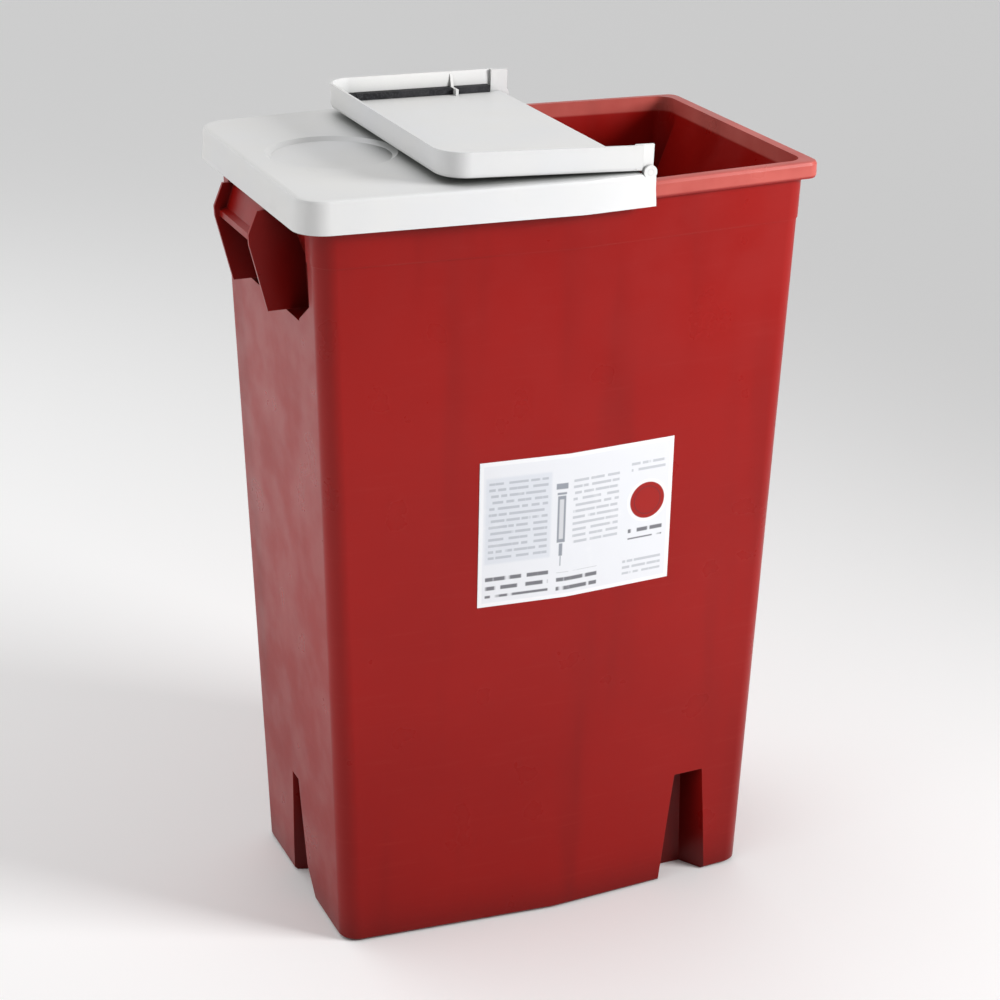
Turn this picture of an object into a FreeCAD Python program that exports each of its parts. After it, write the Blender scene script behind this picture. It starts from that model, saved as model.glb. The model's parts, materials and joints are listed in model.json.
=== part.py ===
"""Large sharps container: open-mouthed body, fixed half lid, hinged flap, gaskets and label.

Millimetres. Origin at the centre of the base, +Z up, -Y is the labelled front, the fixed lid is at -X
and the mouth is at +X. The flap is drawn closed and then swung open onto the fixed lid.
"""
import FreeCAD, Part
import math
import os

V = FreeCAD.Vector
Y_AXIS = V(0, 1, 0)
Z_AXIS = V(0, 0, 1)
SIDES = {"front": -1, "rear": 1}
FAR = 400.0

# Body: tapered walls whose front and back bow out to a vertical crease at X = 0
BASE_HALF_LENGTH = 187.6
BASE_HALF_DEPTH = 106.3
BASE_EDGE = 2.5
WALL_TOP_Z = 632.0
WALL_TOP_HALF_LENGTH = 207.2
WALL_TOP_HALF_DEPTH = 125.0
BOW = 0.07
WALL_CORNER_RADIUS = 17.0
WALL = 3.0
FLOOR = 4.0
BAND_Z = 598.0
BAND_PROUD = 0.8

# Rim: a rolled flange that turns down outside the wall
RIM_TOP_Z = 646.0
RIM_HALF_LENGTH = 216.2
RIM_HALF_DEPTH = 130.5
RIM_CORNER_RADIUS = 11.0
RIM_SKIN = 3.0
RIM_PROFILE = [(632.0, 1.0), (634.0, 0.0), (643.0, 0.0), (645.2, 1.2), (RIM_TOP_Z, 3.5)]

# Lid and flap share one outline, split at the hinge line
LID_TOP_Z = 655.0
LID_HALF_LENGTH = 221.9
LID_HALF_DEPTH = 136.5
LID_CORNER_RADIUS = 24.0
LID_PANEL = 3.0
LID_SKIRT = 2.2
LID_SKIRT_BOTTOM_Z = 628.5
FLAP_SKIRT_BOTTOM_Z = 634.0
SKIRT_FLARE = 1.5
FLARE_TOP_Z = 642.0
EDGE_PROFILE = [(-4.0, 0.0), (-1.2, 1.2), (0.0, 4.0)]

# Hinge: round stubs on the flap's ears turn in holes in the fixed lid's arms
HINGE_X = 55.5
HINGE_Z = 655.3
STUB_RADIUS = 2.5
STUB_CLEARANCE = 0.06
ARM_END_X = 60.5
ARM_INNER_Y = 146.0
ARM_OUTER_Y = 148.3
ARM_EYE_RADIUS = 5.5
FLAP_PANEL_START_X = 59.0
FLAP_SKIRT_START_X = 62.5
EAR_START_X = 52.1
EAR_END_X = 67.5
EAR_INNER_Y = 142.4
EAR_OUTER_Y = 145.1
EAR_TOP_Z = 653.0
EAR_EYE_RADIUS = 5.3
OPEN_TURN = 178.2

# Trough: the fixed lid steps down under the flap's hinge edge
STEP_X = 48.5
TROUGH_END_X = 57.5
TROUGH_TOP_Z = 649.5
TROUGH_SKIN = 2.5
TROUGH_HALF_WIDTH = 141.4
TROUGH_LIP_Z = 641.0
TROUGH_LIP_HALF_WIDTH = 120.0

# Snap blocks on the fixed lid's skirt that catch under the rim
SNAP_Z = (628.8, 631.4)
SNAP_BITE = 1.5
SNAP_WIDTH = 40.0
SNAP_X = [-170.0, -80.0, 10.0]
SNAP_Y = [-75.0, 75.0]

# Gaskets: foam strips between a panel and the rim
GASKET_WIDTH = 8.0
GASKET_GAP = 0.3
FLAP_GASKET_START_X = 70.0
LID_GASKET_END_X = 44.0
END_GASKET_X = 196.0

# Gussets between the flap's panel and its skirts
GUSSET_X = 104.5
GUSSET_THICKNESS = 2.5
GUSSET_BOTTOM_Z = 636.0
GUSSET_REACH = 15.0
RIM_CLEARANCE = 0.6

# Round dish in the fixed lid
DISH_X = -151.5
DISH_TOP_RADIUS = 52.5
DISH_FLOOR_RADIUS = 48.0
DISH_DEPTH = 3.0

# Carrying handles, one on each end: (distance from the centre, height) outlines
RECESS_DEPTH = 16.0
RECESS_BOTTOM_Z = 545.5
RECESS_RAMP_SLOPE = 0.15
RECESS_SHOULDER_Z = 588.0
RECESS_OUTLINE = [(98.0, 562.0), (72.0, 545.5), (66.0, 510.0)]
CHEEK_Y = 45.0
CHEEK_THICKNESS = 3.0
CHEEK_OUTLINE = [
    (187.0, 545.5), (188.3, 588.0), (205.5, 632.0), (205.5, 640.0), (215.5, 640.0), (216.5, 626.4),
    (228.2, 626.4), (235.6, 608.2), (235.3, 600.0), (221.6, 545.5),
]
ROOF_OUTLINE = [
    (213.0, 634.0), (216.0, 634.0), (225.5, 606.6), (231.4, 604.8),
    (231.4, 599.6), (224.5, 599.6), (222.3, 605.4), (213.0, 630.0),
]

# Foot notches: (coordinate along the face, height) of the mouth and of the back wall
FRONT_NOTCH_MOUTH = [(104.5, 0.0), (116.0, 104.0), (142.0, 104.0), (152.0, 0.0)]
FRONT_NOTCH_BACK = [(118.5, 0.0), (123.5, 99.0), (135.0, 99.0), (137.0, 0.0)]
FRONT_NOTCH_FACE_Y = 110.5
FRONT_NOTCH_DEPTH = 24.0
END_NOTCH_MOUTH = [(-34.0, 0.0), (-12.0, 26.0), (1.0, 104.0), (16.0, 104.0), (25.0, 26.0), (27.0, 0.0)]
END_NOTCH_BACK = [(-14.0, 0.0), (-6.0, 24.0), (6.0, 98.0), (14.0, 98.0), (20.0, 24.0), (21.0, 0.0)]
END_NOTCH_FACE_X = 189.0
END_NOTCH_DEPTH = 20.0
NOTCH_OVERRUN = 12.0

# Label on the front, wrapped over the crease
LABEL_X = (-76.1, 95.8)
LABEL_Z = (300.3, 427.1)
LABEL_THICKNESS = 0.4


def blend(low, high, part):
    """Value a given part of the way from low to high."""
    return low + (high - low) * part


def corner_arc(last, corner, following, radius):
    """Start, middle and end of the arc that rounds a corner; all three are the corner if it is sharp."""
    if radius == 0:
        return corner, corner, corner
    back = (last - corner).normalize()
    ahead = (following - corner).normalize()
    half_angle = back.getAngle(ahead) / 2
    bisector = (back + ahead).normalize()
    cut = radius / math.tan(half_angle)
    to_arc = radius / math.sin(half_angle) - radius
    return corner + back * cut, corner + bisector * to_arc, corner + ahead * cut


def rounded_wire(points, radii):
    """Closed wire through level points, each corner rounded by its own radius."""
    count = len(points)
    arcs = [corner_arc(points[i - 1], points[i], points[(i + 1) % count], radii[i]) for i in range(count)]
    edges = []
    for i, (start, middle, end) in enumerate(arcs):
        if radii[i] > 0:
            edges.append(Part.Arc(start, middle, end).toShape())
        edges.append(Part.LineSegment(end, arcs[(i + 1) % count][0]).toShape())
    return Part.Wire(edges)


def bowed_outline(half_length, half_depth, radius, z):
    """Level outline: straight ends, bowed front and back, rounded corners."""
    crease = half_depth + BOW * half_length
    points = [
        V(0, -crease, z), V(half_length, -half_depth, z), V(half_length, half_depth, z),
        V(0, crease, z), V(-half_length, half_depth, z), V(-half_length, -half_depth, z),
    ]
    return rounded_wire(points, [0, radius, radius, 0, radius, radius])


def wall_outline(z, inset=0.0):
    """Outline of the tapered wall at height z, moved inwards by inset."""
    part = z / WALL_TOP_Z
    half_length = blend(BASE_HALF_LENGTH, WALL_TOP_HALF_LENGTH, part) - inset
    half_depth = blend(BASE_HALF_DEPTH, WALL_TOP_HALF_DEPTH, part) - inset
    return bowed_outline(half_length, half_depth, WALL_CORNER_RADIUS - inset, z)


def rim_outline(z, inset=0.0):
    """Outline of the rim's outer edge at height z, moved inwards by inset."""
    return bowed_outline(RIM_HALF_LENGTH - inset, RIM_HALF_DEPTH - inset, RIM_CORNER_RADIUS - inset, z)


def lid_outline(z, inset=0.0):
    """Outline shared by the lid and the flap at height z, moved inwards by inset."""
    return bowed_outline(LID_HALF_LENGTH - inset, LID_HALF_DEPTH - inset, LID_CORNER_RADIUS - inset, z)


def ruled(wires):
    """Solid with straight sides through a stack of outlines."""
    return Part.makeLoft(wires, True, True)


def box(low, high):
    """Box between two opposite corners."""
    return Part.makeBox(high[0] - low[0], high[1] - low[1], high[2] - low[2], V(*low))


def side_box(side, x, y, z):
    """Box on the front (side -1) or rear (side 1); x, y and z are (low, high) and y is a distance."""
    near, far = sorted(side * value for value in y)
    return box((x[0], near, z[0]), (x[1], far, z[1]))


def y_cylinder(side, radius, x, z, y):
    """Cylinder along Y on the front or rear; y is its (low, high) distance from the middle."""
    return Part.makeCylinder(radius, y[1] - y[0], V(x, side * y[0], z), Y_AXIS * side)


def end_plate(end, outline, y):
    """Plate on one end of the body (end is -1 or 1), drawn as (distance, height) and spanning y."""
    points = [V(end * distance, y[0], height) for distance, height in outline]
    face = Part.Face(Part.makePolygon(points + points[:1]))
    return face.extrude(Y_AXIS * (y[1] - y[0]))


def both_ways(shape):
    """The shape and its copy turned half round about the vertical axis."""
    twin = shape.copy()
    twin.rotate(V(0, 0, 0), Z_AXIS, 180)
    return [shape, twin]


def grown_outline(points, grow):
    """Notch outline made wider on both sides and taller; its foot runs on below the base."""
    middle = len(points) // 2
    grown = []
    for i, (along, height) in enumerate(points):
        sideways = -grow if i < middle else grow
        grown.append((along + sideways, height + grow if height > 0 else -1.0))
    return grown


def notch(mouth, back, depth, place, grow):
    """Tapered notch; place(along, height, depth_from_face) gives a point of the body."""
    mouth = grown_outline(mouth, grow)
    back = grown_outline(back, grow)
    run = NOTCH_OVERRUN / depth
    outside = []
    inside = []
    for (mouth_along, mouth_z), (back_along, back_z) in zip(mouth, back):
        along = blend(mouth_along, back_along, -run)
        outside.append(place(along, blend(mouth_z, back_z, -run), -NOTCH_OVERRUN))
        inside.append(place(back_along, back_z, depth + grow))
    return ruled([Part.makePolygon(outside + outside[:1]), Part.makePolygon(inside + inside[:1])])


def notches(grow=0.0):
    """All four foot notches: one near the right of each long face and one in each end."""
    def on_front(along, height, depth):
        return V(along, depth - FRONT_NOTCH_FACE_Y, height)

    def on_left_end(along, height, depth):
        return V(depth - END_NOTCH_FACE_X, along, height)

    front = notch(FRONT_NOTCH_MOUTH, FRONT_NOTCH_BACK, FRONT_NOTCH_DEPTH, on_front, grow)
    end = notch(END_NOTCH_MOUTH, END_NOTCH_BACK, END_NOTCH_DEPTH, on_left_end, grow)
    return both_ways(front) + both_ways(end)


def handle_recesses(grow=0.0):
    """The hollows in the end walls behind the handles; each slopes out to the wall above its floor."""
    taper = (WALL_TOP_HALF_LENGTH - BASE_HALF_LENGTH) / WALL_TOP_Z
    edge = WALL_TOP_HALF_LENGTH - grow
    shoulder = edge - RECESS_DEPTH - taper * (WALL_TOP_Z - RECESS_SHOULDER_Z)
    foot = edge - RECESS_DEPTH - taper * (WALL_TOP_Z - RECESS_BOTTOM_Z)
    bottom = RECESS_BOTTOM_Z - grow
    profile = [
        (foot, bottom), (shoulder, RECESS_SHOULDER_Z), (edge, WALL_TOP_Z), (FAR, WALL_TOP_Z),
        (FAR, bottom - RECESS_RAMP_SLOPE * (FAR - foot)),
    ]
    half = [(y + grow, z - grow) for y, z in RECESS_OUTLINE]
    half.insert(0, (half[0][0], WALL_TOP_Z))
    points = [V(0, y, z) for y, z in half] + [V(0, -y, z) for y, z in reversed(half)]
    window = Part.Face(Part.makePolygon(points + points[:1]))
    recesses = []
    for end in (-1, 1):
        hollow = end_plate(end, profile, (-half[0][0], half[0][0]))
        recesses.append(hollow.common(window.extrude(V(end * FAR, 0, 0))))
    return recesses


def walls():
    """Tapered shell with its floor, notches and handle recesses."""
    lower = ruled([wall_outline(0, BASE_EDGE), wall_outline(BASE_EDGE), wall_outline(BAND_Z)])
    upper = ruled([wall_outline(BAND_Z, -BAND_PROUD), wall_outline(RIM_TOP_Z, -BAND_PROUD)])
    cavity = ruled([wall_outline(FLOOR, WALL), wall_outline(RIM_TOP_Z + 1, WALL)])
    cavity = cavity.cut(notches(WALL) + handle_recesses(WALL))
    return lower.fuse(upper).cut(notches() + handle_recesses()).cut(cavity)


def rim():
    """Rolled flange around the mouth, hollow underneath."""
    solid = ruled([rim_outline(z, inset) for z, inset in RIM_PROFILE])
    hollow = ruled([rim_outline(0, RIM_SKIN), rim_outline(RIM_TOP_Z - RIM_SKIN, RIM_SKIN)])
    bottom, top = RIM_PROFILE[0][0] - 1, RIM_TOP_Z + 1
    core = ruled([wall_outline(bottom, -BAND_PROUD), wall_outline(top, -BAND_PROUD)])
    mouth = ruled([wall_outline(bottom, WALL), wall_outline(top, WALL)])
    return solid.cut(hollow.cut(core)).cut(mouth)


def handle(end):
    """Two cheeks and the sloped grip between them."""
    cheeks = []
    for side in SIDES.values():
        middle = side * CHEEK_Y
        span = (middle - CHEEK_THICKNESS / 2, middle + CHEEK_THICKNESS / 2)
        cheeks.append(end_plate(end, CHEEK_OUTLINE, span))
    grip = end_plate(end, ROOF_OUTLINE, (-CHEEK_Y, CHEEK_Y))
    return grip.fuse(cheeks)


def container_body():
    """The one-piece moulded container."""
    return walls().fuse([rim(), handle(-1), handle(1)]).removeSplitter()


def cap_shell(skirt_bottom):
    """Whole cap outline as a thin panel with a skirt that flares towards its lower edge."""
    flare = SKIRT_FLARE * (FLARE_TOP_Z - skirt_bottom) / (FLARE_TOP_Z - LID_SKIRT_BOTTOM_Z)
    sections = [lid_outline(skirt_bottom, -flare), lid_outline(FLARE_TOP_Z)]
    sections += [lid_outline(LID_TOP_Z + drop, inset) for drop, inset in EDGE_PROFILE]
    inner = ruled([
        lid_outline(skirt_bottom - 1, LID_SKIRT - flare),
        lid_outline(FLARE_TOP_Z, LID_SKIRT),
        lid_outline(LID_TOP_Z - LID_PANEL, LID_SKIRT),
    ])
    return ruled(sections).cut(inner)


def dish():
    """The dish's hollow, and the solid that closes it from below."""
    floor_z = LID_TOP_Z - DISH_DEPTH
    hollow = Part.makeCone(DISH_FLOOR_RADIUS, DISH_TOP_RADIUS, DISH_DEPTH, V(DISH_X, 0, floor_z))
    backing = Part.makeCylinder(DISH_TOP_RADIUS, LID_PANEL, V(DISH_X, 0, floor_z - LID_PANEL))
    return hollow, backing


def trough():
    """Step down under the flap's hinge edge, with a stiffening lip."""
    width = TROUGH_HALF_WIDTH
    lip = TROUGH_LIP_HALF_WIDTH
    under = TROUGH_TOP_Z - TROUGH_SKIN
    step = box((STEP_X - TROUGH_SKIN, -width, under), (STEP_X, width, LID_TOP_Z))
    floor = box((STEP_X - TROUGH_SKIN, -width, under), (TROUGH_END_X, width, TROUGH_TOP_Z))
    edge = box((TROUGH_END_X - TROUGH_SKIN, -lip, TROUGH_LIP_Z), (TROUGH_END_X, lip, TROUGH_TOP_Z))
    return step.fuse([floor, edge])


def snaps():
    """Blocks inside the skirt that catch under the rim."""
    ring = ruled([lid_outline(z, LID_SKIRT - SKIRT_FLARE) for z in SNAP_Z])
    ring = ring.cut(ruled([rim_outline(z, SNAP_BITE) for z in SNAP_Z]))
    half = SNAP_WIDTH / 2
    windows = [box((x - half, -FAR, SNAP_Z[0]), (x + half, FAR, SNAP_Z[1])) for x in SNAP_X]
    windows += [box((-FAR, y - half, SNAP_Z[0]), (-FAR / 2, y + half, SNAP_Z[1])) for y in SNAP_Y]
    return [ring.common(window) for window in windows]


def fixed_lid():
    """The half lid that snaps onto the rim for good, with the arms that carry the flap."""
    shell = cap_shell(LID_SKIRT_BOTTOM_Z)
    beyond = box((ARM_END_X, -FAR, 0), (FAR, FAR, FAR * 2))
    gap = box((STEP_X, -ARM_INNER_Y, 0), (FAR, ARM_INNER_Y, FAR * 2))
    hollow, backing = dish()
    lid = shell.cut([beyond, gap]).fuse([backing, trough()] + snaps()).cut(hollow)
    for side in SIDES.values():
        eye = y_cylinder(side, ARM_EYE_RADIUS, HINGE_X, HINGE_Z, (ARM_INNER_Y, ARM_OUTER_Y))
        hole_radius = STUB_RADIUS + STUB_CLEARANCE
        hole = y_cylinder(side, hole_radius, HINGE_X, HINGE_Z, (ARM_INNER_Y - 1, ARM_OUTER_Y + 3))
        lid = lid.fuse(eye).cut(hole)
    return lid.removeSplitter()


def ear(side):
    """Flap ear inside the lid's arm: leg, eye, the block that joins it to the skirt, and the stub."""
    height = (FLAP_SKIRT_BOTTOM_Z, EAR_TOP_Z)
    leg = side_box(side, (EAR_START_X, EAR_END_X), (EAR_INNER_Y, EAR_OUTER_Y), height)
    joint = side_box(side, (FLAP_SKIRT_START_X, EAR_END_X), (EAR_INNER_Y, ARM_INNER_Y + 1), height)
    eye = y_cylinder(side, EAR_EYE_RADIUS, HINGE_X, HINGE_Z, (EAR_INNER_Y, EAR_OUTER_Y))
    stub = y_cylinder(side, STUB_RADIUS, HINGE_X, HINGE_Z, (EAR_OUTER_Y - 1, ARM_OUTER_Y))
    return leg.fuse([joint, eye, stub])


def gusset(side):
    """Rib between the flap's panel and skirt, stepped to clear the rim."""
    reach = LID_HALF_DEPTH - LID_SKIRT + BOW * (LID_HALF_LENGTH - GUSSET_X)
    rim_edge = RIM_HALF_DEPTH + BOW * (RIM_HALF_LENGTH - GUSSET_X) + RIM_CLEARANCE
    over_rim = RIM_TOP_Z + RIM_CLEARANCE
    under_panel = LID_TOP_Z - LID_PANEL
    outline = [
        (reach + 1.5, GUSSET_BOTTOM_Z), (reach, GUSSET_BOTTOM_Z), (rim_edge, over_rim),
        (reach - GUSSET_REACH, over_rim), (reach - GUSSET_REACH, under_panel + 1),
        (reach + 1.5, under_panel + 1),
    ]
    start = GUSSET_X - GUSSET_THICKNESS / 2
    points = [V(start, side * y, z) for y, z in outline]
    return Part.Face(Part.makePolygon(points + points[:1])).extrude(V(GUSSET_THICKNESS, 0, 0))


def closed_flap():
    """The flap lying shut over the mouth."""
    shell = cap_shell(FLAP_SKIRT_BOTTOM_Z)
    shell = shell.cut(box((-FAR, -FAR, 0), (FLAP_PANEL_START_X, FAR, FAR * 2)))
    for side in SIDES.values():
        arm_room = side_box(side, (0, FLAP_SKIRT_START_X), (EAR_OUTER_Y + 0.3, FAR), (0, FAR * 2))
        shell = shell.cut(arm_room).fuse([ear(side), gusset(side)])
    return shell.removeSplitter()


def gasket_ring():
    """Full ring of foam on top of the rim, inside the skirt."""
    levels = (RIM_TOP_Z + GASKET_GAP, LID_TOP_Z - LID_PANEL)
    outer = ruled([lid_outline(z, LID_SKIRT) for z in levels])
    return outer.cut(ruled([lid_outline(z, LID_SKIRT + GASKET_WIDTH) for z in levels]))


def lid_gasket():
    """One strip round the three closed sides of the fixed lid."""
    return gasket_ring().common(box((-FAR, -FAR, 0), (LID_GASKET_END_X, FAR, FAR * 2)))


def closed_flap_gaskets():
    """Strips in the flap: one across the far end, two along each side, parted by the gussets."""
    ring = gasket_ring()
    before = GUSSET_X - GUSSET_THICKNESS / 2
    after = GUSSET_X + GUSSET_THICKNESS / 2
    strips = {"flap_gasket_end": ring.common(box((END_GASKET_X, -FAR, 0), (FAR, FAR, FAR * 2)))}
    for name, side in SIDES.items():
        for place, x in (("inner", (FLAP_GASKET_START_X, before)), ("outer", (after, END_GASKET_X))):
            window = side_box(side, x, (0, FAR), (0, FAR * 2))
            strips["flap_gasket_" + name + "_" + place] = ring.common(window)
    return strips


def swung_open(shape):
    """Turn a closed flap piece back about the hinge until it lies on the fixed lid."""
    turned = shape.copy()
    turned.rotate(V(HINGE_X, 0, HINGE_Z), Y_AXIS, -OPEN_TURN)
    return turned


def front_label():
    """Printed label stuck over the crease."""
    proud = ruled([wall_outline(z, -LABEL_THICKNESS) for z in LABEL_Z])
    skin = proud.cut(ruled([wall_outline(z) for z in LABEL_Z]))
    return skin.common(box((LABEL_X[0], -FAR, 0), (LABEL_X[1], 0, FAR * 2)))


def parts():
    """Every piece by node name, with the flap open."""
    pieces = {
        "container_body": container_body(),
        "fixed_lid": fixed_lid(),
        "lid_gasket": lid_gasket(),
        "front_label": front_label(),
        "hinged_flap": swung_open(closed_flap()),
    }
    for name, strip in closed_flap_gaskets().items():
        pieces[name] = swung_open(strip)
    return pieces


os.makedirs("parts", exist_ok=True)
for name, shape in parts().items():
    shape.exportStep("parts/" + name + ".step")
    extent = shape.BoundBox
    print(name, "solids", len(shape.Solids), "valid", shape.isValid(), "volume", round(shape.Volume), extent)
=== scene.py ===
import json
import math

import bmesh
import bpy
from mathutils import Matrix, Vector

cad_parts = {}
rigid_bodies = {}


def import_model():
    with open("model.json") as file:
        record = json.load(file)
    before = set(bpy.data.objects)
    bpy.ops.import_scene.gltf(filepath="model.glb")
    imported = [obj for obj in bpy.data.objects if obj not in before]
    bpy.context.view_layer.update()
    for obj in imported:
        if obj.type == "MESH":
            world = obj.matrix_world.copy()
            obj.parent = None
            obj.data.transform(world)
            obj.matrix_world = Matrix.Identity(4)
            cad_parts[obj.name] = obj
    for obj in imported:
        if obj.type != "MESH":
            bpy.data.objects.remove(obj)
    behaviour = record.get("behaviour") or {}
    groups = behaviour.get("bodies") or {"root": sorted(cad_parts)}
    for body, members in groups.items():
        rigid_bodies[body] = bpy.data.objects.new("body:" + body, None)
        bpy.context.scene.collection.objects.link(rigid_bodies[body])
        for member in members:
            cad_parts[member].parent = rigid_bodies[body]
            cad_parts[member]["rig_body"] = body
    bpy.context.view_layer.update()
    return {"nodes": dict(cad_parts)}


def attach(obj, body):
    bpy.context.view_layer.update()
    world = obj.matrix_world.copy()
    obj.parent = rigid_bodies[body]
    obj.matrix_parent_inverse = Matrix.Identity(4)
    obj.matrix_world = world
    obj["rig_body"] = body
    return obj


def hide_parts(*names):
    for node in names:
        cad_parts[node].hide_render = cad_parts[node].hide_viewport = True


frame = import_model()
MM = 0.001

# Camera: the direction it looks from, and what it looks at
CAMERA_AZIMUTH = 23.097
CAMERA_ELEVATION = 22.037
CAMERA_DISTANCE = 2.1001
CAMERA_ROLL = 0.598
CAMERA_TARGET = Vector((-0.0041, 0.0, 0.3375))
CAMERA_LENS = 88.17
SENSOR_WIDTH = 36.0

# Light: a soft key from the front right, a weak one behind the left end, and surroundings
# that are brightest on that side
KEY_PLACE = (1.44, -1.31, 1.22)
KEY_TARGET = (0, -0.1, 0.52)
KEY_SIZE = (0.8, 0.8)
KEY_SPREAD = 75
KEY_WATTS = 9.2
BACK_PLACE = (-1.1, 1.9, 1.5)
BACK_TARGET = (-0.75, 1.1, 0)
BACK_SIZE = (1.4, 1.4)
BACK_SPREAD = 90
BACK_WATTS = 2.5
BRIGHT_SIDE = Vector((-0.65, 0.55, 0.52))
DIM_LIGHT = 0.10
BRIGHT_LIGHT = 1.05
DIM_FROM = -0.35
BRIGHT_FROM = 0.95
FLOOR_COLOUR = (0.95, 0.95, 0.95, 1)
FLOOR_ROUGHNESS = 0.7
FLOOR_REACH = 20
FLOOR_DROP = 0.5 * MM

# Shapes: how the copies of the CAD pieces are cleaned, and how far their edges are rounded
WELD = 0.02 * MM
FLAT_ANGLE = 0.6
SHARP_ANGLE = 28.0
BEVEL_STEPS = 3
BODY_EDGE = 1.2 * MM
LID_EDGE = 0.8 * MM
GASKET_EDGE = 0.8 * MM
LABEL_EDGE = 0.1 * MM

# Plastics
RED_DEEP = (0.28, 0.0036, 0.0022, 1)
RED_BRIGHT = (0.32, 0.0050, 0.0030, 1)
# Dark red for painted shade, lower down and in hollows, and also the tone of the flow marks
RED_SHADED = (0.060, 0.0024, 0.0022, 1)
RED_SCUFFED = (0.42, 0.050, 0.038, 1)
# Painted highlight: a pale pink band along the top of the rim, starting at RIM_FROM and fading in over
# RIM_FADE
RED_RIM_HIGHLIGHT = (0.62, 0.150, 0.125, 1)
RIM_FROM = 0.6325
RIM_FADE = 2.5 * MM
# Painted shade: below this height the red darkens towards the bottom
DARK_BELOW = 0.30
RED_IOR = 1.36
WHITE_COOL = (0.74, 0.75, 0.775, 1)
WHITE_WARM = (0.78, 0.775, 0.76, 1)
# Grey for painted shade in the hollows of the white parts
WHITE_SHADED = (0.30, 0.31, 0.30, 1)
WHITE_SCUFFED = (0.60, 0.59, 0.57, 1)
WHITE_IOR = 1.42
FOAM_DARK = (0.006, 0.006, 0.008, 1)
FOAM_PALE = (0.030, 0.030, 0.034, 1)

# Label artwork, in millimetres of x and z on the front: (x low, x high, z low, z high)
LABEL_EDGES = (-76.1, 95.8, 300.3, 427.1)
LABEL_MARGIN = 3.5
FILM_WHITE = (0.84, 0.84, 0.86, 1)
FILM_TINT = (0.62, 0.65, 0.71, 1)
PRINT_GREY = (0.20, 0.22, 0.26, 1)
PRINT_DARK = (0.025, 0.025, 0.04, 1)
PRINT_RED = (0.33, 0.007, 0.004, 1)
FILM_IOR = 1.4
TINT_BLOCK = (-71, -15, 338, 413)
LINE_BLOCKS = [(-68, -18, 342, 409), (4, 46, 346, 404), (57, 89, 400, 410), (52, 88, 310, 324)]
BOLD_BLOCKS = [(-70, -16, 308, 327), (-9, 28, 306, 323), (56, 88, 341, 351)]
LINE_PITCH = 5.4
BOLD_PITCH = 8.0
SYRINGE = [
    (-11, -1, 397, 402), (-10, -2, 392, 394), (-9.5, -2.5, 350, 391), (-7.5, -4.5, 338, 349),
    (-6.4, -5.6, 329, 338),
]
SYRINGE_INSIDE = (-7.8, -4.2, 353, 388)
BADGE_PLACE = (73, 374)
BADGE_RADIUS = 16
BADGE_HALO = 18.8
BADGE_RING = (11.6, 12.6)


class Graph:
    """The nodes of one material, added by short calls that give back output sockets."""

    def __init__(self, name):
        self.material = bpy.data.materials.new(name)
        self.material.use_nodes = True
        self.tree = self.material.node_tree
        self.shader = self.tree.nodes["Principled BSDF"]
        self.place = self.add("ShaderNodeTexCoord").outputs["Object"]

    def feed(self, socket, value):
        """Link a socket to the input, or set the input to a plain value."""
        if isinstance(value, bpy.types.NodeSocket):
            self.tree.links.new(value, socket)
        else:
            socket.default_value = value

    def add(self, kind, values=None, **settings):
        node = self.tree.nodes.new(kind)
        for key, value in settings.items():
            setattr(node, key, value)
        for key, value in (values or {}).items():
            self.feed(node.inputs[key], value)
        return node

    def math(self, operation, first, second=0.0):
        return self.add("ShaderNodeMath", {0: first, 1: second}, operation=operation).outputs[0]

    def ramp(self, value, low, high, start=0.0, end=1.0):
        """Smooth change from start at low to end at high."""
        values = {"Value": value, "From Min": low, "From Max": high, "To Min": start, "To Max": end}
        return self.add("ShaderNodeMapRange", values, interpolation_type="SMOOTHSTEP").outputs["Result"]

    def mix(self, amount, first, second):
        """The first colour at 0 and the second at 1."""
        values = {0: amount, 6: first, 7: second}
        return self.add("ShaderNodeMix", values, data_type="RGBA").outputs[2]

    def noise(self, scale, detail=3.0, stretch=(1, 1, 1)):
        """Cloudy pattern; a stretch below 1 draws it out along that axis."""
        place = self.add("ShaderNodeVectorMath", {0: self.place, 1: stretch}, operation="MULTIPLY")
        values = {"Vector": place.outputs[0], "Scale": scale, "Detail": detail}
        return self.add("ShaderNodeTexNoise", values).outputs[0]

    def edges(self, radius):
        """1 along sharp edges and 0 on flat faces."""
        rounded = self.add("ShaderNodeBevel", {"Radius": radius}, samples=6).outputs[0]
        plain = self.add("ShaderNodeNewGeometry").outputs["Normal"]
        dot = self.add("ShaderNodeVectorMath", {0: rounded, 1: plain}, operation="DOT_PRODUCT")
        return self.ramp(dot.outputs["Value"], 0.97, 0.80)

    def openness(self, distance):
        """1 on open faces and 0 deep in a corner or hollow; the mask for painted shade in hollows."""
        return self.add("ShaderNodeAmbientOcclusion", {"Distance": distance}, samples=12).outputs["AO"]

    def bump(self, layers):
        """Surface normal from (height, strength, depth) layers."""
        normal = None
        for height, strength, depth in layers:
            node = self.add("ShaderNodeBump", {"Height": height, "Strength": strength, "Distance": depth})
            if normal:
                self.feed(node.inputs["Normal"], normal)
            normal = node.outputs[0]
        self.feed(self.shader.inputs["Normal"], normal)

    def finish(self, colour, roughness):
        """The material, with its colour and roughness joined to the shader."""
        self.feed(self.shader.inputs["Base Color"], colour)
        self.feed(self.shader.inputs["Roughness"], roughness)
        return self.material


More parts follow.
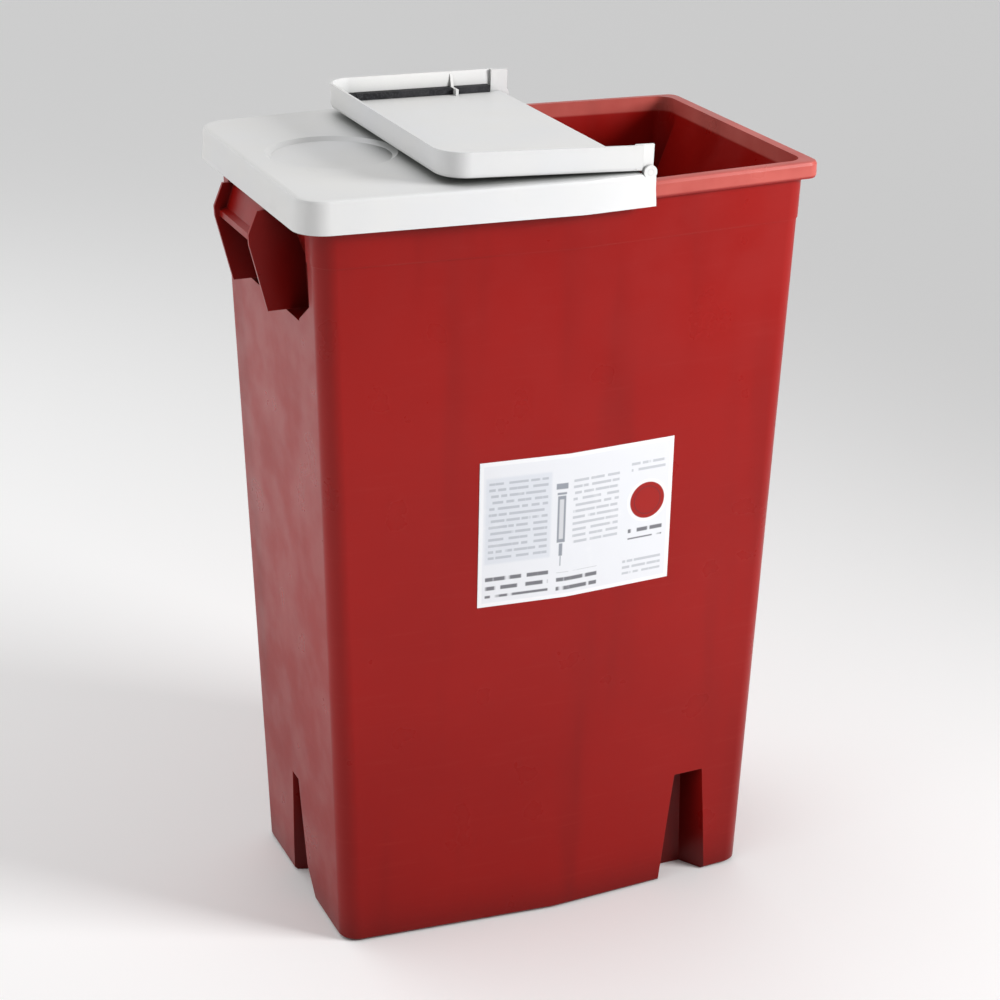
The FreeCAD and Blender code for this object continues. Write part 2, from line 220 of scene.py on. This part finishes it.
def red_plastic():
    """Semi-gloss red polypropylene: cloudy pigment, flow marks, scuffed edges, painted shade lower down
    and in hollows, and a painted highlight along the rim.
    """
    graph = Graph("moulded_red_plastic")
    clouds = graph.ramp(graph.noise(4.0, 4.0), 0.3, 0.7)
    flow = graph.ramp(graph.noise(16.0, 3.0, (1, 1, 0.12)), 0.5, 0.75, 0.0, 0.22)
    scuffs = graph.ramp(graph.noise(60.0, 4.0, (0.25, 0.25, 4.0)), 0.55, 0.85, 0.0, 0.12)
    height = graph.add("ShaderNodeSeparateXYZ", {0: graph.place}).outputs["Z"]
    # Painted highlight: the rim's top band paler and pinker, patchy with noise
    rim = graph.ramp(height, RIM_FROM, RIM_FROM + RIM_FADE)
    print_wear_and_rim_highlight = graph.math("MULTIPLY", rim, graph.ramp(graph.noise(14.0, 4.0), 0.25, 0.75, 0.45, 0.85))
    # Painted shade: darker towards the bottom
    painted_shade_low = graph.ramp(height, DARK_BELOW, 0.0, 0.0, 0.22)
    patchy = graph.ramp(graph.noise(28.0), 0.38, 0.66, 0.12, 0.5)
    wear = graph.math("MULTIPLY", graph.edges(1.8 * MM), patchy)
    # Painted shade: dark red in hollows and corners, from ambient occlusion
    openness = graph.ramp(graph.openness(0.10), 0.30, 0.72, 0.15, 1.0)
    colour = graph.mix(clouds, RED_DEEP, RED_BRIGHT)
    colour = graph.mix(painted_shade_low, colour, RED_SHADED)
    colour = graph.mix(print_wear_and_rim_highlight, colour, RED_RIM_HIGHLIGHT)
    colour = graph.mix(flow, colour, RED_SHADED)
    colour = graph.mix(scuffs, colour, RED_SCUFFED)
    colour = graph.mix(openness, RED_SHADED, colour)
    colour = graph.mix(wear, colour, RED_SCUFFED)
    roughness = graph.ramp(graph.noise(22.0, 4.0), 0.3, 0.7, 0.27, 0.40)
    roughness = graph.math("ADD", roughness, graph.math("MULTIPLY", wear, 0.25))
    graph.bump([(graph.noise(70.0, 2.0), 0.10, 0.4 * MM), (graph.noise(850.0, 2.0), 0.12, 0.1 * MM)])
    graph.feed(graph.shader.inputs["Specular IOR Level"], graph.ramp(height, 0.0, 0.5, 0.28, 0.5))
    graph.shader.inputs["IOR"].default_value = RED_IOR
    return graph.finish(colour, roughness)


def white_plastic():
    """Satin white polypropylene: faint warm and cool patches, handling marks, painted shade greying the
    hollows.
    """
    graph = Graph("moulded_white_plastic")
    clouds = graph.ramp(graph.noise(5.0, 4.0), 0.3, 0.7)
    marks = graph.ramp(graph.noise(48.0, 5.0, (1.6, 0.5, 1.0)), 0.64, 0.78, 0.0, 0.16)
    patchy = graph.ramp(graph.noise(24.0), 0.4, 0.7, 0.05, 0.45)
    wear = graph.math("MULTIPLY", graph.edges(1.2 * MM), patchy)
    # Painted shade: grey in hollows and corners, from ambient occlusion
    openness = graph.ramp(graph.openness(0.05), 0.05, 0.8)
    colour = graph.mix(clouds, WHITE_COOL, WHITE_WARM)
    colour = graph.mix(marks, colour, WHITE_SCUFFED)
    colour = graph.mix(openness, WHITE_SHADED, colour)
    colour = graph.mix(wear, colour, WHITE_SCUFFED)
    roughness = graph.ramp(graph.noise(20.0, 4.0), 0.3, 0.7, 0.36, 0.50)
    graph.bump([(graph.noise(60.0, 2.0), 0.08, 0.4 * MM), (graph.noise(900.0, 2.0), 0.10, 0.1 * MM)])
    graph.shader.inputs["IOR"].default_value = WHITE_IOR
    return graph.finish(colour, roughness)


def gasket_foam():
    """Black closed-cell foam with small pores."""
    graph = Graph("gasket_foam")
    cells = graph.add("ShaderNodeTexVoronoi", {"Vector": graph.place, "Scale": 620.0}).outputs["Distance"]
    colour = graph.mix(graph.ramp(cells, 0.1, 0.7), FOAM_PALE, FOAM_DARK)
    colour = graph.mix(graph.ramp(graph.noise(40.0), 0.45, 0.75, 0.0, 0.4), colour, FOAM_PALE)
    roughness = graph.ramp(graph.noise(90.0), 0.3, 0.7, 0.78, 0.95)
    graph.bump([(cells, 0.6, 0.5 * MM), (graph.noise(300.0), 0.3, 0.3 * MM)])
    return graph.finish(colour, roughness)


class LabelArt:
    """Masks, 1 inside a shape and 0 outside it, placed in millimetres of x and z on the front."""

    def __init__(self, graph):
        self.graph = graph
        axes = graph.add("ShaderNodeSeparateXYZ", {0: graph.place}).outputs
        self.x = graph.math("MULTIPLY", axes["X"], 1 / MM)
        self.z = graph.math("MULTIPLY", axes["Z"], 1 / MM)

    def inside(self, rectangle, soft=0.5):
        x_low, x_high, z_low, z_high = rectangle
        mask = self.graph.ramp(self.x, x_low - soft, x_low + soft)
        for value, from_edge, to_edge in (
                (self.x, x_high + soft, x_high - soft), (self.z, z_low - soft, z_low + soft),
                (self.z, z_high + soft, z_high - soft)):
            mask = self.graph.math("MULTIPLY", mask, self.graph.ramp(value, from_edge, to_edge))
        return mask

    def any_of(self, rectangles):
        total = self.inside(rectangles[0])
        for rectangle in rectangles[1:]:
            total = self.graph.math("MAXIMUM", total, self.inside(rectangle))
        return total

    def disc(self, radius, soft):
        across = self.graph.math("SUBTRACT", self.x, BADGE_PLACE[0])
        up = self.graph.math("SUBTRACT", self.z, BADGE_PLACE[1])
        squares = [self.graph.math("MULTIPLY", side, side) for side in (across, up)]
        reach = self.graph.math("SQRT", self.graph.math("ADD", *squares))
        return self.graph.ramp(reach, radius + soft, radius - soft)

    def ring(self, inner, outer, soft):
        return self.graph.math("SUBTRACT", self.disc(outer, soft), self.disc(inner, soft))

    def bars(self, blocks, pitch, word_scale):
        """Rows of plain bars, broken at random along x, that fill the blocks."""
        graph = self.graph
        rows = graph.math("DIVIDE", self.z, pitch)
        across = graph.math("FRACT", rows)
        row = graph.math("FLOOR", rows)
        spot = graph.add("ShaderNodeCombineXYZ", {0: graph.math("MULTIPLY", self.x, word_scale), 1: row})
        words = graph.add("ShaderNodeTexNoise", {"Vector": spot.outputs[0], "Scale": 1.0, "Detail": 1.0})
        inked = graph.math("MULTIPLY", graph.ramp(across, 0.30, 0.42), graph.ramp(across, 0.85, 0.72))
        inked = graph.math("MULTIPLY", inked, graph.ramp(words.outputs[0], 0.40, 0.46))
        return graph.math("MULTIPLY", inked, self.any_of(blocks))


def label_film():
    """Printed film: a tinted panel, rows of plain bars for text, a plain syringe and a plain badge."""
    graph = Graph("label_film")
    art = LabelArt(graph)
    x_low, x_high, z_low, z_high = LABEL_EDGES
    panel = (x_low + LABEL_MARGIN, x_high - LABEL_MARGIN, z_low + LABEL_MARGIN, z_high - LABEL_MARGIN)
    print_layers = [
        (art.inside(panel), 0.35, FILM_TINT),
        (art.inside(TINT_BLOCK, 1.5), 0.6, FILM_TINT),
        (art.bars(LINE_BLOCKS, LINE_PITCH, 0.14), 0.42, PRINT_GREY),
        (art.bars(BOLD_BLOCKS, BOLD_PITCH, 0.09), 0.8, PRINT_DARK),
        (art.any_of(SYRINGE), 0.85, PRINT_GREY),
        (art.inside(SYRINGE_INSIDE), 0.6, FILM_WHITE),
        (art.disc(BADGE_HALO, 0.4), 1.0, FILM_WHITE),
        (art.disc(BADGE_RADIUS, 0.4), 1.0, PRINT_RED),
        (art.ring(*BADGE_RING, 0.2), 0.35, PRINT_DARK),
    ]
    colour = FILM_WHITE
    for mask, strength, ink in print_layers:
        colour = graph.mix(graph.math("MULTIPLY", mask, strength), colour, ink)
    # Rubbed-off print: patches where the white film shows through
    print_wear_and_rim_highlight = graph.ramp(graph.noise(60.0, 5.0), 0.60, 0.72, 0.0, 0.22)
    colour = graph.mix(print_wear_and_rim_highlight, colour, FILM_WHITE)
    roughness = graph.ramp(graph.noise(35.0, 4.0), 0.3, 0.7, 0.32, 0.50)
    graph.bump([(graph.noise(26.0, 3.0), 0.10, 0.4 * MM), (graph.noise(700.0, 2.0), 0.06, 0.1 * MM)])
    graph.shader.inputs["IOR"].default_value = FILM_IOR
    return graph.finish(colour, roughness)


def moulded_copy(node, name, edge_radius):
    """A CAD node's shape with its tessellation merged into clean faces and its edges rounded."""
    source = frame["nodes"][node]
    mesh = source.data.copy()
    mesh.name = name
    mesh.materials.clear()
    work = bmesh.new()
    work.from_mesh(mesh)
    bmesh.ops.remove_doubles(work, verts=work.verts, dist=WELD)
    bmesh.ops.dissolve_limit(
        work, angle_limit=math.radians(FLAT_ANGLE), verts=work.verts, edges=work.edges)
    bmesh.ops.recalc_face_normals(work, faces=work.faces)
    for face in work.faces:
        face.smooth = True
    work.to_mesh(mesh)
    work.free()
    piece = bpy.data.objects.new(name, mesh)
    bpy.context.scene.collection.objects.link(piece)
    bevel = piece.modifiers.new("rounded_edges", "BEVEL")
    bevel.width = edge_radius
    bevel.segments = BEVEL_STEPS
    bevel.limit_method = "ANGLE"
    bevel.angle_limit = math.radians(SHARP_ANGLE)
    bevel.use_clamp_overlap = True
    bevel.miter_outer = "MITER_ARC"
    weighted = piece.modifiers.new("flat_faces", "WEIGHTED_NORMAL")
    weighted.keep_sharp = True
    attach(piece, source["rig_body"])
    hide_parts(node)
    return piece


def pieces():
    """Every piece of the container, in its own material."""
    red = red_plastic()
    white = white_plastic()
    foam = gasket_foam()
    looks = {
        "container_body": (red, "red_plastic", BODY_EDGE),
        "fixed_lid": (white, "white_plastic", LID_EDGE),
        "hinged_flap": (white, "white_plastic", LID_EDGE),
        "front_label": (label_film(), "label_paper", LABEL_EDGE),
    }
    for node in frame["nodes"]:
        material, slot, radius = looks.get(node, (foam, "gasket_foam", GASKET_EDGE))
        piece = moulded_copy(node, node + "_look", radius)
        piece.data.materials.append(material)


def softbox(name, place, target, size, spread, watts):
    """Rectangular light that shines from place towards target, no wider than spread degrees."""
    data = bpy.data.lights.new(name, "AREA")
    data.shape = "RECTANGLE"
    data.size, data.size_y = size
    data.spread = math.radians(spread)
    data.energy = watts
    light = bpy.data.objects.new(name, data)
    bpy.context.scene.collection.objects.link(light)
    light.location = place
    light.rotation_mode = "QUATERNION"
    light.rotation_quaternion = (Vector(target) - Vector(place)).to_track_quat("-Z", "Y")


def surroundings():
    """Soft white studio, brighter towards BRIGHT_SIDE."""
    world = bpy.data.worlds.new("studio")
    bpy.context.scene.world = world
    world.use_nodes = True
    tree = world.node_tree
    direction = tree.nodes.new("ShaderNodeTexCoord").outputs["Generated"]
    facing = tree.nodes.new("ShaderNodeVectorMath")
    facing.operation = "DOT_PRODUCT"
    facing.inputs[1].default_value = BRIGHT_SIDE
    tree.links.new(direction, facing.inputs[0])
    level = tree.nodes.new("ShaderNodeMapRange")
    level.interpolation_type = "SMOOTHSTEP"
    level.inputs["From Min"].default_value = DIM_FROM
    level.inputs["From Max"].default_value = BRIGHT_FROM
    level.inputs["To Min"].default_value = DIM_LIGHT
    level.inputs["To Max"].default_value = BRIGHT_LIGHT
    tree.links.new(facing.outputs["Value"], level.inputs["Value"])
    background = tree.nodes["Background"]
    background.inputs["Color"].default_value = (1, 1, 1, 1)
    tree.links.new(level.outputs["Result"], background.inputs["Strength"])


def floor():
    """Plain pale floor, wide enough to fill the view."""
    mesh = bpy.data.meshes.new("floor")
    signs = ((-1, -1), (1, -1), (1, 1), (-1, 1))
    corners = [(x * FLOOR_REACH, y * FLOOR_REACH, 0) for x, y in signs]
    mesh.from_pydata(corners, [], [(0, 1, 2, 3)])
    plane = bpy.data.objects.new("floor", mesh)
    bpy.context.scene.collection.objects.link(plane)
    graph = Graph("pale_floor")
    mesh.materials.append(graph.finish(FLOOR_COLOUR, FLOOR_ROUGHNESS))
    plane.location.z = -FLOOR_DROP


def camera():
    """Camera at the angles above, turned a little about its own axis."""
    azimuth, elevation = math.radians(CAMERA_AZIMUTH), math.radians(CAMERA_ELEVATION)
    back = Vector((
        -math.sin(azimuth) * math.cos(elevation),
        -math.cos(azimuth) * math.cos(elevation),
        math.sin(elevation),
    ))
    data = bpy.data.cameras.new("camera")
    data.lens = CAMERA_LENS
    data.sensor_width = SENSOR_WIDTH
    eye = bpy.data.objects.new("camera", data)
    bpy.context.scene.collection.objects.link(eye)
    eye.location = CAMERA_TARGET + back * CAMERA_DISTANCE
    eye.rotation_mode = "QUATERNION"
    aim = (-back).to_track_quat("-Z", "Y")
    roll = Matrix.Rotation(math.radians(CAMERA_ROLL), 3, "Z").to_quaternion()
    eye.rotation_quaternion = aim @ roll
    bpy.context.scene.camera = eye


pieces()
softbox("key", KEY_PLACE, KEY_TARGET, KEY_SIZE, KEY_SPREAD, KEY_WATTS)
softbox("back", BACK_PLACE, BACK_TARGET, BACK_SIZE, BACK_SPREAD, BACK_WATTS)
surroundings()
floor()
camera()
bpy.context.scene.view_settings.view_transform = "Standard"
